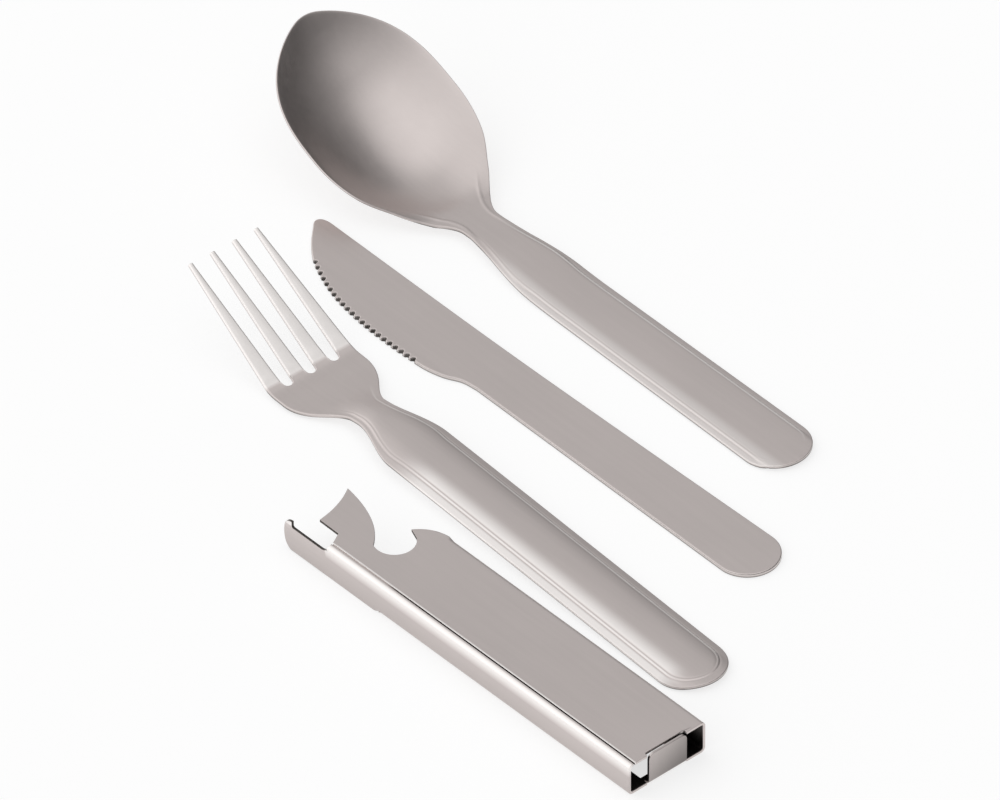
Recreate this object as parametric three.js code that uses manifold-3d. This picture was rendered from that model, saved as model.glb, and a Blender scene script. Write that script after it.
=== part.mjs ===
// Picnic cutlery: a spoon, a fork and a knife laid out beside the folded steel case that carries them.
// The case has a can opener and a bottle opener cut into its top plate, and a tab that closes its other end.
//
// Millimetres, +Z up. Everything lies on the plane z = 0. +Y runs from the handles to the working ends, and
// +X from the case to the spoon. The origin is on that plane, in the middle of the laid-out set.
// Each piece is drawn in a frame of its own: y = 0 at the end of its handle, and x = 0 on its centre line.

import * as THREE from "three";
import { mergeVertices } from "three/addons/utils/BufferGeometryUtils.js";
import Module from "manifold-3d";

const wasm = await Module();
wasm.setup();

// ---------------------------------------------------------------- driving dimensions

const SHEET = 1; // thickness of the spoon and the fork
const CASE_SHEET = 0.8;

const CASE = {
  width: 26.4,
  height: 10,
  channelLength: 95.8, // right wall and bottom plate
  flangeLength: 115.9, // narrow flange folded over from the left wall
  bend: 1.5, // outer radius of every fold
  seamX: -11.1, // edge of the top plate beside the flange
  seamGap: 0.4,
  endInset: 0.4, // the walls stop this far short of the tab's outer face
  tabWidth: 13,
  tabCorner: 1.8,
  tabNotchDepth: 1.5,
  tabNotchPlay: 0.3,
  tabSlitEnd: 1.6, // the slits beside the tab's fold
  tabStrip: 3, // the strip that the tab folds from, in front of its window in the bottom plate
  windowEnd: 10.6,
};

const OPENER = {
  rightX: 13,
  hookStart: 96.7,
  hookCrown: 5,
  hookTip: [7.6, 106.5],
  hookThroat: [6.3, 103],
  mouth: { x: 1.5, y: 106.2, radius: 5.75, endAngle: 158 }, // bottle opener
  blade: {
    cusp: [-3.8, 108.4],
    belly: [4.4, 114.4],
    tip: [6.3, 129.6],
    hollow: [0.4, 125.8],
    heel: [-7.4, 125.1],
    root: [-7.5, 117.8],
  },
};

// The left wall's open end, in y and z.
const WALL = {
  footZ: 0.6,
  toeY: 129.8,
  noseY: 132.4,
  noseZ: 5.5,
  hornY: 129.4,
  hornZ: 9.7,
  ledgeZ: 7.9,
  shoulderY: 118.4,
};

const KNIFE = {
  thickness: 1.2,
  endRadius: 9,
  heelY: 104, // the cutting edge starts here
  pointY: 181.2,
  toothPitch: 2.25,
  toothDepth: 0.55,
  teethFrom: 122.5,
  teethTo: 171,
};

const HANDLE = {
  spoon: { endRadius: 10, shoulder: 9.5, shoulderY: 97, neck: 5.75, neckY: 125 },
  fork: { endRadius: 10.3, shoulder: 10.1, shoulderY: 118, neck: 5.9, neckY: 136 },
};
const CROWN = 0.006; // the handles are arched across: z falls by CROWN * x * x
const RIM = 1.8; // flat border round the raised panel
const STEP = 0.2; // height of the panel's edge over the border
const PANEL_ROUND = 4.6; // width of the panel's rounded shoulder
const STEP_WIDTH = 0.6;
const PANEL_RISE = { spoon: 0.25, fork: 0.6 };
const POLE_SHARE = 0.42; // how far a round end's ribs lean toward its middle

const BOWL = { y: 162.4, halfLength: 32.5, halfWidth: 24.4 };
const BRIM = { startY: 132, z: 3.4, slope: 0.28, curve: 0.0025 }; // the bowl's brim rises toward the tip
const BOWL_ROUND = 0.72; // how full the bowl's section is, from 1 for a parabola down
const SPOON_BLEND = { from: 122, length: 16 }; // where the handle turns into the bowl
const SPOON_ARCH = { endZ: 2.2, rise: 1.7, from: 86, length: 36 }; // the handle rises toward the neck
const FORK_HEAD = { rootY: 161.5, tipY: 196.4, rootHalf: 14.2, tipHalf: 11.7, flareY: 143.5, flare: 6, blend: 4.5 };
const SLOTS = { count: 3, rootPitch: 7.8, tipPitch: 7.4, rootWidth: 3.2, tipWidth: 6.2 };

// Where each piece lies: the end of its handle, measured from the middle of the case's tab, and its turn.
const LAYOUT = {
  fork: { x: 32.1, y: 17.4, turn: -1.8 },
  knife: { x: 72.8, y: 40.8, turn: 0 },
  spoon: { x: 107.2, y: 66.7, turn: -0.6 },
};

const steel = (color, roughness) => new THREE.MeshStandardMaterial({ color, roughness, metalness: 1 });
const MATERIALS = {
  cutlery: steel(0xb5adaa, 0.28),
  knife: steel(0xb3aca8, 0.34),
  case: steel(0xb6aeab, 0.36),
};

// ---------------------------------------------------------------- small helpers

const clamp01 = (t) => Math.min(1, Math.max(0, t));
const lerp = (a, b, t) => a + (b - a) * t;
const smooth = (t) => clamp01(t) ** 2 * (3 - 2 * clamp01(t));
const radians = THREE.MathUtils.degToRad;

// The larger of a and b, with a fillet of about k where they cross.
function smoothMax(a, b, k) {
  const h = Math.max(k - Math.abs(a - b), 0) / k;
  return Math.max(a, b) + (h * h * k) / 4;
}

// Value at t of the smooth curve through knots [[t, value], ...].
function through(knots, t) {
  const last = knots.length - 1;
  if (t <= knots[0][0]) return knots[0][1];
  if (t >= knots[last][0]) return knots[last][1];
  const i = knots.findIndex((k) => k[0] > t) - 1;
  const slope = (j) => {
    const [a, b] = [knots[Math.max(j - 1, 0)], knots[Math.min(j + 1, last)]];
    return (b[1] - a[1]) / (b[0] - a[0]);
  };
  const [[t0, v0], [t1, v1]] = [knots[i], knots[i + 1]];
  const span = t1 - t0;
  const s = (t - t0) / span;
  const bend0 = span * slope(i) - (v1 - v0);
  const bend1 = v1 - v0 - span * slope(i + 1);
  return lerp(v0, v1, s) + s * (1 - s) * lerp(bend0, bend1, s);
}

function solidOf(geometry) {
  const bare = geometry.clone().deleteAttribute("normal").deleteAttribute("uv");
  const merged = mergeVertices(bare, 1e-4);
  return new wasm.Manifold(
    new wasm.Mesh({
      numProp: 3,
      vertProperties: merged.attributes.position.array,
      triVerts: new Uint32Array(merged.index.array),
    }),
  );
}

function geometryOf(solid) {
  const mesh = solid.getMesh();
  return new THREE.BufferGeometry()
    .setAttribute("position", new THREE.BufferAttribute(mesh.vertProperties, 3))
    .setIndex(new THREE.BufferAttribute(mesh.triVerts, 1));
}

const union = (solids) => solids.reduce((a, b) => a.add(b));

// A shape in the x-y plane, extruded up z from bottom to top.
function plate(points, bottom, top) {
  const shape = new THREE.Shape(points.map(([x, y]) => new THREE.Vector2(x, y)));
  return new THREE.ExtrudeGeometry(shape, { depth: top - bottom, bevelEnabled: false }).translate(0, 0, bottom);
}

// Points of the arc from one angle to another, in degrees, counted anticlockwise from +x.
function arc(cx, cy, rx, ry, from, to, steps) {
  return Array.from({ length: steps + 1 }, (_, i) => {
    const a = radians(lerp(from, to, i / steps));
    return [cx + rx * Math.cos(a), cy + ry * Math.sin(a)];
  });
}

// ---------------------------------------------------------------- pressed sheet

// A closed sheet between ribs that cross it. rib(i) gives the half width and the y of rib i's ends and the y of
// its middle, and height(x, y) the top surface. A rib of no width folds flat onto the centre line.
function pressedSheet(ribs, shares, height, thickness) {
  const columns = shares.length;
  const tops = ribs.flatMap(({ half, endY, midY }) =>
    shares.map((share) => {
      const x = half * share;
      const y = lerp(midY, endY, Math.abs(share));
      return new THREE.Vector3(x, y, height(x, y));
    }),
  );
  const undersides = tops.map((p) => p.clone().addScaledVector(normalAt(height, p), -thickness));
  const positions = [...tops, ...undersides].flatMap((p) => p.toArray());
  const index = [];
  const quad = (a, b, c, d) => index.push(a, b, c, a, c, d);
  for (let i = 0; i < ribs.length - 1; i++) {
    for (let j = 0; j < columns - 1; j++) {
      const [a, b] = [i * columns + j, (i + 1) * columns + j];
      quad(a, a + 1, b + 1, b);
      quad(tops.length + a, tops.length + b, tops.length + b + 1, tops.length + a + 1);
    }
    const [left, right] = [i * columns, i * columns + columns - 1];
    quad(tops.length + left, left, left + columns, tops.length + left + columns);
    quad(right, tops.length + right, tops.length + right + columns, right + columns);
  }
  const end = (ribs.length - 1) * columns;
  for (let a = end; a < end + columns - 1 && ribs[ribs.length - 1].half > 0; a++) {
    quad(tops.length + a, a, a + 1, tops.length + a + 1);
  }
  const geometry = new THREE.BufferGeometry();
  geometry.setAttribute("position", new THREE.Float32BufferAttribute(positions, 3));
  geometry.setIndex(index);
  return withoutSlivers(mergeVertices(geometry, 1e-4));
}

// Upward normal of the surface z = height(x, y) at a point on it.
function normalAt(height, { x, y }) {
  const reach = 0.05;
  const dx = (height(x + reach, y) - height(x - reach, y)) / (2 * reach);
  const dy = (height(x, y + reach) - height(x, y - reach)) / (2 * reach);
  return new THREE.Vector3(-dx, -dy, 1).normalize();
}

// Drops the triangles that folded ribs leave with two equal corners.
function withoutSlivers(geometry) {
  const kept = [];
  const { array } = geometry.index;
  for (let i = 0; i < array.length; i += 3) {
    const [a, b, c] = array.slice(i, i + 3);
    if (a !== b && b !== c && c !== a) kept.push(a, b, c);
  }
  geometry.setIndex(kept);
  return geometry;
}

// Half width of a spoon's or fork's handle, from its round end to its neck.
function handleHalf({ endRadius, shoulder, shoulderY, neck, neckY }, y) {
  if (y < endRadius) return Math.sqrt(Math.max(0, endRadius ** 2 - (endRadius - y) ** 2));
  const straight = lerp(endRadius, shoulder, clamp01((y - endRadius) / (shoulderY - endRadius)));
  return lerp(straight, neck, smooth((y - shoulderY) / (neckY - shoulderY)));
}

// Height of the raised panel over the handle's border, at a point that lies depth inside the outline.
function panelRise(depth, rise) {
  const inside = depth - RIM;
  return STEP * smooth(inside / STEP_WIDTH) + rise * (1 - (1 - clamp01(inside / PANEL_ROUND)) ** 2);
}

// Distance from a point of a handle to its outline.
function depthInside({ endRadius }, half, x, y) {
  if (y < endRadius) return endRadius - Math.hypot(x, endRadius - y);
  return half(y) - Math.abs(x);
}

// Ribs at the given y, with their middles drawn in from both ends so that no rib is only a point.
function ribsAt(ys, half, startReach, endReach) {
  const tip = ys[ys.length - 1];
  return ys.map((endY) => {
    const near = Math.max(0, 1 - endY / startReach) ** 2;
    const far = endReach ? Math.max(0, 1 - (tip - endY) / endReach) ** 2 : 0;
    return { half: half(endY), endY, midY: endY + POLE_SHARE * (near * startReach - far * endReach) };
  });
}

const evenly = (from, to, steps) => Array.from({ length: steps }, (_, i) => lerp(from, to, i / steps));
const roundEnd = (radius, steps) =>
  Array.from({ length: steps }, (_, i) => radius * (1 - Math.cos((i / steps) * (Math.PI / 2))));

// ---------------------------------------------------------------- spoon

// Half width of the spoon's neck, which widens from the handle into the bowl.
const SPOON_NECK = [
  [92, 9.5],
  [97, 9.45],
  [102, 9.1],
  [108, 8.2],
  [114, 7.05],
  [119, 6.3],
  [123, 5.95],
  [126, 6.1],
  [129, 7.5],
  [132, 9.7],
  [135, 12.1],
  [138, 14.5],
  [141, 16.6],
  [144, 18.6],
  [147, 20.2],
  [152, 22],
];
const NECK_FROM = 92;
const NECK_TO = 149;

function spoonHalf(y) {
  const t = (y - BOWL.y) / BOWL.halfLength;
  if (t >= 1) return 0;
  if (t > 0) return BOWL.halfWidth * (1 - t ** 3) ** 0.75;
  const heel = BOWL.halfWidth * Math.max(0, 1 - t * t) ** 0.63;
  if (y < NECK_FROM) return handleHalf(HANDLE.spoon, y);
  if (y > NECK_TO) return heel;
  const start = lerp(handleHalf(HANDLE.spoon, y), through(SPOON_NECK, y), smooth((y - NECK_FROM) / 10));
  return lerp(start, heel, smooth((y - NECK_TO + 8) / 8));
}

const BOWL_FLOOR = [
  [112, 3.6],
  [122, 3.9],
  [132, 3.5],
  [142, 2],
  [150, 1.7],
  [160, 3.5],
  [170, 7.5],
  [180, 13.3],
  [190, 21.6],
  [BOWL.y + BOWL.halfLength, 31],
];

function spoonHeight(x, y) {
  const half = spoonHalf(y);
  const floor = through(BOWL_FLOOR, y);
  const along = Math.max(0, y - BRIM.startY);
  const brim = Math.max(floor, BRIM.z + BRIM.slope * along + BRIM.curve * along ** 2);
  const across = Math.max(0, 1 - (x / Math.max(half, 1e-6)) ** 2) ** BOWL_ROUND;
  const bowl = lerp(brim, floor, across);
  const panel = panelRise(depthInside(HANDLE.spoon, spoonHalf, x, y), PANEL_RISE.spoon);
  const arch = SPOON_ARCH.endZ + SPOON_ARCH.rise * smooth((y - SPOON_ARCH.from) / SPOON_ARCH.length);
  const handle = arch - CROWN * x * x + panel;
  return lerp(handle, bowl, smooth((y - SPOON_BLEND.from) / SPOON_BLEND.length));
}

function makeSpoon() {
  const { endRadius, shoulderY } = HANDLE.spoon;
  const tip = BOWL.y + BOWL.halfLength;
  const ys = [
    ...roundEnd(endRadius, 7),
    ...evenly(endRadius, shoulderY, 5),
    ...evenly(shoulderY, 140, 16),
    ...evenly(140, BOWL.y, 8),
    ...Array.from({ length: 13 }, (_, i) => BOWL.y + BOWL.halfLength * Math.sin((i / 12) * (Math.PI / 2))),
  ];
  ys[ys.length - 1] = tip;
  const near = [0, 0.28, 0.52, 0.68, 0.78, 0.84, 0.92, 1];
  return pressedSheet(ribsAt(ys, spoonHalf, 12, 22), mirrored(near), spoonHeight, SHEET);
}

const mirrored = (shares) => [...shares.slice(1).map((s) => -s).reverse(), ...shares];

// ---------------------------------------------------------------- fork

function forkHalf(y) {
  const { rootY, tipY, rootHalf, tipHalf, flareY, flare, blend } = FORK_HEAD;
  if (y >= rootY) return lerp(rootHalf, tipHalf, (y - rootY) / (tipY - rootY));
  if (y < flareY - flare) return handleHalf(HANDLE.fork, y);
  const open = clamp01((y - flareY + flare) / (rootY - flareY));
  const head = rootHalf * Math.sin((Math.min(1, open) * Math.PI) / 2) ** 0.8;
  return smoothMax(handleHalf(HANDLE.fork, y), head, blend);
}

const FORK_SPINE = [
  [0, 1.6],
  [60, 2.9],
  [118, 4.1],
  [134, 4.3],
  [141, 3.1],
  [148, 1.75],
  [152, 1.5],
  [156, 1.6],
  [160.6, 1.9],
  [162, 2.35],
  [164, 3.4],
  [172, 7.8],
  [180, 12.2],
  [FORK_HEAD.tipY, 21.2],
];
const FORK_FADE = { from: 130, length: 14 }; // where the raised panel runs out

function forkHeight(x, y) {
  const spine = through(FORK_SPINE, y);
  const fade = 1 - smooth((y - FORK_FADE.from) / FORK_FADE.length);
  const panel = panelRise(depthInside(HANDLE.fork, forkHalf, x, y), PANEL_RISE.fork);
  return spine - CROWN * x * x * fade + panel * fade;
}

// Three tapered slots with round roots, which leave four tines.
function forkSlots() {
  const { rootY, tipY } = FORK_HEAD;
  const past = tipY + 3;
  const share = (past - rootY) / (tipY - rootY);
  return Array.from({ length: SLOTS.count }, (_, i) => {
    const place = i - (SLOTS.count - 1) / 2;
    const rootX = place * SLOTS.rootPitch;
    const endX = lerp(rootX, place * SLOTS.tipPitch, share);
    const endHalf = lerp(SLOTS.rootWidth, SLOTS.tipWidth, share) / 2;
    const root = arc(rootX, rootY, SLOTS.rootWidth / 2, SLOTS.rootWidth / 2, 180, 360, 8);
    return solidOf(plate([...root, [endX + endHalf, past], [endX - endHalf, past]], -5, 40));
  });
}

function makeFork() {
  const { endRadius, shoulderY } = HANDLE.fork;
  const ys = [
    ...roundEnd(endRadius, 7),
    ...evenly(endRadius, shoulderY, 5),
    ...evenly(shoulderY, FORK_HEAD.rootY, 20),
    ...evenly(FORK_HEAD.rootY, FORK_HEAD.tipY, 8),
    FORK_HEAD.tipY,
  ];
  const near = [0, 0.3, 0.6, 0.76, 0.83, 1];
  const blank = solidOf(pressedSheet(ribsAt(ys, forkHalf, 12, 0), mirrored(near), forkHeight, SHEET));
  return geometryOf(forkSlots().reduce((fork, slot) => fork.subtract(slot), blank));
}

// ---------------------------------------------------------------- knife

// The cutting edge, from the handle to the tip: [y, x].
const KNIFE_EDGE = [
  [104, -8.1],
  [109, -8.9],
  [113, -10.9],
  [118, -12.3],
  [125, -12.9],
  [133, -13.1],
  [147, -12.4],
  [157, -10.7],
  [165, -8.0],
  [171, -5.1],
  [177, -0.4],
  [181.2, 4.0],
];
const KNIFE_TIP = [
  [6.0, 182.4],
  [7.6, 181.6],
  [8.2, 179.6],
];
const KNIFE_SPINE = [
  [7.9, 150],
  [7.7, 110],
  [8.2, 60],
];

function knifeOutline() {
  const { endRadius, toothPitch, toothDepth, heelY, teethFrom, teethTo, pointY } = KNIFE;
  const end = arc(0, endRadius, endRadius, endRadius, 0, -180, 20);
  const teeth = Math.round((teethTo - teethFrom) / toothPitch);
  const pitch = (teethTo - teethFrom) / teeth;
  const edge = evenly(heelY, teethFrom, 8).map((y) => [through(KNIFE_EDGE, y), y]);
  for (let i = 0; i < teeth * 4; i++) {
    const y = teethFrom + (i / 4) * pitch;
    edge.push([through(KNIFE_EDGE, y) + toothDepth * Math.sin(((i % 4) * Math.PI) / 4), y]);
  }
  edge.push(...evenly(teethTo, pointY, 6).map((y) => [through(KNIFE_EDGE, y), y]));
  return [...edge, ...KNIFE_TIP, ...KNIFE_SPINE, ...end];
}

const makeKnife = () => plate(knifeOutline(), 0, KNIFE.thickness);

// ---------------------------------------------------------------- case

// The x-z outline of the strip that folds into the case's walls, from the top plate's edge at the seam, round
// the four folds to the narrow flange on the other side of the seam.
function wallStrip() {
  const { width, height, bend, seamX, seamGap } = CASE;
  const [right, left, low, high] = [width / 2 - bend, bend - width / 2, bend, height - bend];
  const side = (inset) => {
    const radius = bend - inset;
    const fold = (x, z, start) => arc(x, z, radius, radius, start, start - 90, 5);
    const folds = [...fold(right, high, 90), ...fold(right, low, 0), ...fold(left, low, -90)];
    return [[seamX, height - inset], ...folds, ...fold(left, high, 180), [seamX - seamGap, height - inset]];
  };
  return [...side(0), ...side(CASE_SHEET).reverse()];
}

// An x-z outline extruded along y, and a y-z outline extruded along x.
const alongY = (points, from, to) => plate(points, -to, -from).rotateX(Math.PI / 2);
const alongX = (points, from, to) => plate(points, from, to).rotateY(Math.PI / 2).rotateX(Math.PI / 2);

const block = (low, high) =>
  new THREE.BoxGeometry(...high.map((v, i) => v - low[i])).translate(...high.map((v, i) => (v + low[i]) / 2));

// The can opener's blade and the bottle opener's mouth and hook, at the open end of the top plate.
function openerPlate() {
  const { height, seamX, flangeLength, channelLength } = CASE;
  const { rightX, hookStart, hookCrown, hookTip, hookThroat, mouth, blade } = OPENER;
  const angleOf = ([x, y]) => THREE.MathUtils.radToDeg(Math.atan2(y - mouth.y, x - mouth.x));
  const hookBack = new THREE.CubicBezierCurve(
    new THREE.Vector2(rightX, hookStart),
    new THREE.Vector2(rightX, hookStart + hookCrown),
    new THREE.Vector2(hookTip[0] + hookCrown / 2, hookTip[1] - hookCrown / 3),
    new THREE.Vector2(...hookTip),
  );
  const curve = (...points) => new THREE.QuadraticBezierCurve(...points.map((p) => new THREE.Vector2(...p)));
  const bladeEdge = curve(blade.cusp, blade.belly, blade.tip);
  const bladeEnd = curve(blade.tip, blade.hollow, blade.heel);
  const points = [
    [seamX, channelLength - 2],
    [rightX, channelLength - 2],
    ...hookBack.getPoints(10).map((p) => [p.x, p.y]),
    ...arc(mouth.x, mouth.y, mouth.radius, mouth.radius, angleOf(hookThroat), mouth.endAngle - 360, 18),
    ...bladeEdge.getPoints(10).map((p) => [p.x, p.y]),
    ...bladeEnd.getPoints(6).slice(1).map((p) => [p.x, p.y]),
    blade.root,
    [seamX, flangeLength],
  ];
  return plate(points, height - CASE_SHEET, height);
}

// The left wall past its flange: it steps down to a ledge, and ends in a rounded nose with a small horn.
function nose() {
  const { width, bend, flangeLength, channelLength } = CASE;
  const { footZ, shoulderY, ledgeZ, hornY, hornZ, noseY, noseZ, toeY } = WALL;
  const lower = new THREE.QuadraticBezierCurve(
    new THREE.Vector2(toeY, footZ),
    new THREE.Vector2(noseY, lerp(footZ, noseZ, 0.2)),
    new THREE.Vector2(noseY, noseZ),
  );
  const upper = new THREE.QuadraticBezierCurve(
    new THREE.Vector2(noseY, noseZ),
    new THREE.Vector2(noseY, hornZ),
    new THREE.Vector2(hornY, hornZ),
  );
  const points = [
    [channelLength, footZ],
    ...lower.getPoints(5).map((p) => [p.x, p.y]),
    ...upper.getPoints(5).slice(1).map((p) => [p.x, p.y]),
    [hornY, ledgeZ + 0.4],
    [hornY - 0.4, ledgeZ],
    [shoulderY, ledgeZ],
    [flangeLength, CASE.height - bend],
    [channelLength, CASE.height - bend],
  ];
  return alongX(points, -width / 2, CASE_SHEET - width / 2);
}

// The tab that closes the far end: it folds up from the bottom plate and stands in a notch of the top plate.
function tab() {
  const { height, bend, tabWidth, tabCorner, tabStrip } = CASE;
  const half = tabWidth / 2;
  const fold = (radius) => arc(bend, bend, radius, radius, 270, 180, 5);
  const upright = [[tabStrip, 0], ...fold(bend), [0, height], [CASE_SHEET, height]];
  const profile = [...upright, ...fold(bend - CASE_SHEET).reverse(), [tabStrip, CASE_SHEET]];
  const strip = solidOf(alongX(profile, -half, half));
  const corners = arc(half - tabCorner, height - tabCorner, tabCorner, tabCorner, 0, 90, 6);
  const mirror = corners.map(([x, z]) => [-x, z]).reverse();
  const face = solidOf(alongY([[half, -1], ...corners, ...mirror, [-half, -1]], -1, tabStrip + 1));
  return strip.intersect(face);
}

function makeCase() {
  const { width, height, bend, channelLength, flangeLength, endInset } = CASE;
  const { tabWidth, tabNotchDepth, tabNotchPlay, tabSlitEnd, tabStrip, windowEnd, seamX } = CASE;
  const tube = solidOf(alongY(wallStrip(), endInset, channelLength));
  const strip = solidOf(alongY(wallStrip(), channelLength - 1, flangeLength));
  const flange = strip.intersect(solidOf(block([-width, 0, height - bend], [seamX - 0.1, 200, height + 1])));
  const notchHalf = tabWidth / 2 + tabNotchPlay;
  const notch = solidOf(block([-notchHalf, -1, height - bend], [notchHalf, tabNotchDepth, height + 1]));
  const slits = solidOf(block([-notchHalf, -1, -1], [notchHalf, tabSlitEnd, bend]));
  const window = solidOf(block([-notchHalf, tabStrip, -1], [notchHalf, windowEnd, bend]));
  const shell = tube.subtract(notch).subtract(slits).subtract(window);
  return geometryOf(union([shell, tab(), flange, solidOf(openerPlate()), solidOf(nose())]));
}

// ---------------------------------------------------------------- the laid-out set

// A piece rests on the plane z = 0, wherever it lies.
function piece(name, geometry, material, { x, y, turn } = { x: 0, y: 0, turn: 0 }) {
  geometry.computeVertexNormals();
  const mesh = new THREE.Mesh(geometry, material);
  mesh.name = name;
  geometry.computeBoundingBox();
  mesh.position.set(x, y, -geometry.boundingBox.min.z);
  mesh.rotation.z = radians(turn);
  return mesh;
}

const set = new THREE.Group();
set.add(
  piece("case", makeCase(), MATERIALS.case),
  piece("fork", makeFork(), MATERIALS.cutlery, LAYOUT.fork),
  piece("knife", makeKnife(), MATERIALS.knife, LAYOUT.knife),
  piece("spoon", makeSpoon(), MATERIALS.cutlery, LAYOUT.spoon),
);

const middle = new THREE.Box3().setFromObject(set, true).getCenter(new THREE.Vector3());
set.position.set(-middle.x, -middle.y, 0);

export default set;
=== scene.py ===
"""Picnic cutlery: a spoon, a fork and a knife beside their folded steel case, in a plain studio.

Each piece is drawn in millimetres in a frame of its own, with y = 0 at the end of its handle and x = 0 on its
centre line, and is then set down in the box that its CAD node fills.
"""

import math

import bmesh
import bpy
import numpy as np
from mathutils import Matrix, Vector


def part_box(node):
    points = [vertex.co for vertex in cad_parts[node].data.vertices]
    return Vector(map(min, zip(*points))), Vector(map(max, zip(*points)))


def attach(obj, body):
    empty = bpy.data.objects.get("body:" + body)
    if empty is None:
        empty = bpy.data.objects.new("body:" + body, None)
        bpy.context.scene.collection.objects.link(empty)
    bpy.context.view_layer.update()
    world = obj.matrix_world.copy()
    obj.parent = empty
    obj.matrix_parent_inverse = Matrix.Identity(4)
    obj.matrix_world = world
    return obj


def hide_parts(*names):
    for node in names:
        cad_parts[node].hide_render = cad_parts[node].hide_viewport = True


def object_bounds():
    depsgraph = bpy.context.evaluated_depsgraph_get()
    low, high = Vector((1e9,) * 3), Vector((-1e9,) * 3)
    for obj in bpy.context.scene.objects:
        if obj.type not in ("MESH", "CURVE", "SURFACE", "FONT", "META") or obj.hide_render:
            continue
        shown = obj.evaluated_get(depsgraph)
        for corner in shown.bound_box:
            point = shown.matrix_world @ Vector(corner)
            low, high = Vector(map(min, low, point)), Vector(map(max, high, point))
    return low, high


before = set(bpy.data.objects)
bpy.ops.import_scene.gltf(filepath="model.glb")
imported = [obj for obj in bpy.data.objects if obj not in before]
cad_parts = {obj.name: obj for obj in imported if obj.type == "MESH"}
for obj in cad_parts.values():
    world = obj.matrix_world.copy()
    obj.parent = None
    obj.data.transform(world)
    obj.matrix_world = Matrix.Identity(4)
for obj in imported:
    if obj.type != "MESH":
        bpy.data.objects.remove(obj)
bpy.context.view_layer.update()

MM = 0.001

# ---------------------------------------------------------------- driving dimensions, in millimetres

SHEET = 1.0
CASE_SHEET = 0.8
KNIFE_THICKNESS = 1.2

TURN = {"case": 0.0, "fork": -1.8, "knife": 0.0, "spoon": -0.6}  # degrees about the vertical

# ---------------------------------------------------------------- small helpers


def smooth(t):
    """0 to 1 along an S-shaped curve, for t from 0 to 1."""
    t = np.clip(t, 0.0, 1.0)
    return t * t * (3 - 2 * t)


def eased(t, start, length):
    """0 to 1 along an S-shaped curve, over a length from its start."""
    return smooth((t - start) / length)


def lerp(a, b, t):
    return a + (b - a) * t


def smooth_max(a, b, k):
    """The larger of a and b, with a fillet of about k where they cross."""
    h = np.maximum(k - np.abs(a - b), 0) / k
    return np.maximum(a, b) + h * h * k / 4


def through(knots, t):
    """Values at t of the smooth curve through knots [(t, value), ...]."""
    at = np.array([k[0] for k in knots], float)
    value = np.array([k[1] for k in knots], float)
    slope = np.gradient(value, at)
    t = np.clip(t, at[0], at[-1])
    i = np.clip(np.searchsorted(at, t, side="right") - 1, 0, len(at) - 2)
    span = at[i + 1] - at[i]
    s = (t - at[i]) / span
    rise = value[i + 1] - value[i]
    bend_a, bend_b = span * slope[i] - rise, rise - span * slope[i + 1]
    return lerp(value[i], value[i + 1], s) + s * (1 - s) * lerp(bend_a, bend_b, s)


def arc(cx, cy, radius, start, end, steps):
    """Points of the arc from one angle to another, in degrees, counted anticlockwise from +x."""
    angles = np.radians(np.linspace(start, end, steps + 1))
    return [(cx + radius * math.cos(a), cy + radius * math.sin(a)) for a in angles]


def bezier(*points, steps=12):
    """Points of the Bezier curve with these control points."""
    out = []
    for t in np.linspace(0, 1, steps + 1):
        row = [np.array(p, float) for p in points]
        while len(row) > 1:
            row = [lerp(a, b, t) for a, b in zip(row, row[1:])]
        out.append(tuple(row[0]))
    return out


def evenly(points, spacing):
    """Points spaced evenly along a polyline."""
    points = np.array(points, float)
    run = np.concatenate([[0], np.cumsum(np.hypot(*np.diff(points, axis=0).T))])
    at = np.linspace(0, run[-1], max(2, round(run[-1] / spacing) + 1))
    return np.stack([np.interp(at, run, points[:, k]) for k in (0, 1)], 1)


def mesh_object(name, vertices, faces):
    """A smooth-shaded mesh object from points in metres."""
    mesh = bpy.data.meshes.new(name)
    mesh.from_pydata([tuple(v) for v in vertices], [], faces)
    mesh.polygons.foreach_set("use_smooth", [True] * len(mesh.polygons))
    obj = bpy.data.objects.new(name, mesh)
    bpy.context.scene.collection.objects.link(obj)
    return obj


def weld(obj, distance=1e-6):
    """Merges points that lie together and drops faces that this leaves with no area."""
    bm = bmesh.new()
    bm.from_mesh(obj.data)
    bmesh.ops.remove_doubles(bm, verts=bm.verts, dist=distance)
    bmesh.ops.dissolve_degenerate(bm, edges=bm.edges, dist=distance / 10)
    bm.to_mesh(obj.data)
    bm.free()


def thicken(obj, thickness, rounding, segments, gauge=None):
    """Gives a surface its sheet thickness, downward from its face, and rounds the rim. The gauge gives every
    point its share of the thickness."""
    solidify = obj.modifiers.new("sheet", "SOLIDIFY")
    if gauge is not None:
        group = obj.vertex_groups.new(name="gauge")
        for i, share in enumerate(gauge):
            group.add([i], float(share), "REPLACE")
        solidify.vertex_group = "gauge"
    solidify.thickness = thickness * MM
    solidify.offset = -1
    solidify.use_even_offset = False
    round_rim(obj, rounding, segments)


def round_rim(obj, rounding, segments):
    bevel = obj.modifiers.new("rim", "BEVEL")
    bevel.width = rounding * MM
    bevel.segments = segments
    bevel.limit_method = "ANGLE"
    bevel.angle_limit = math.radians(50)
    bevel.use_clamp_overlap = False


def apply_modifiers(obj):
    """Replaces a mesh by what its modifiers make of it."""
    evaluated = obj.evaluated_get(bpy.context.evaluated_depsgraph_get())
    mesh = bpy.data.meshes.new_from_object(evaluated)
    obj.modifiers.clear()
    obj.data = mesh


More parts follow.
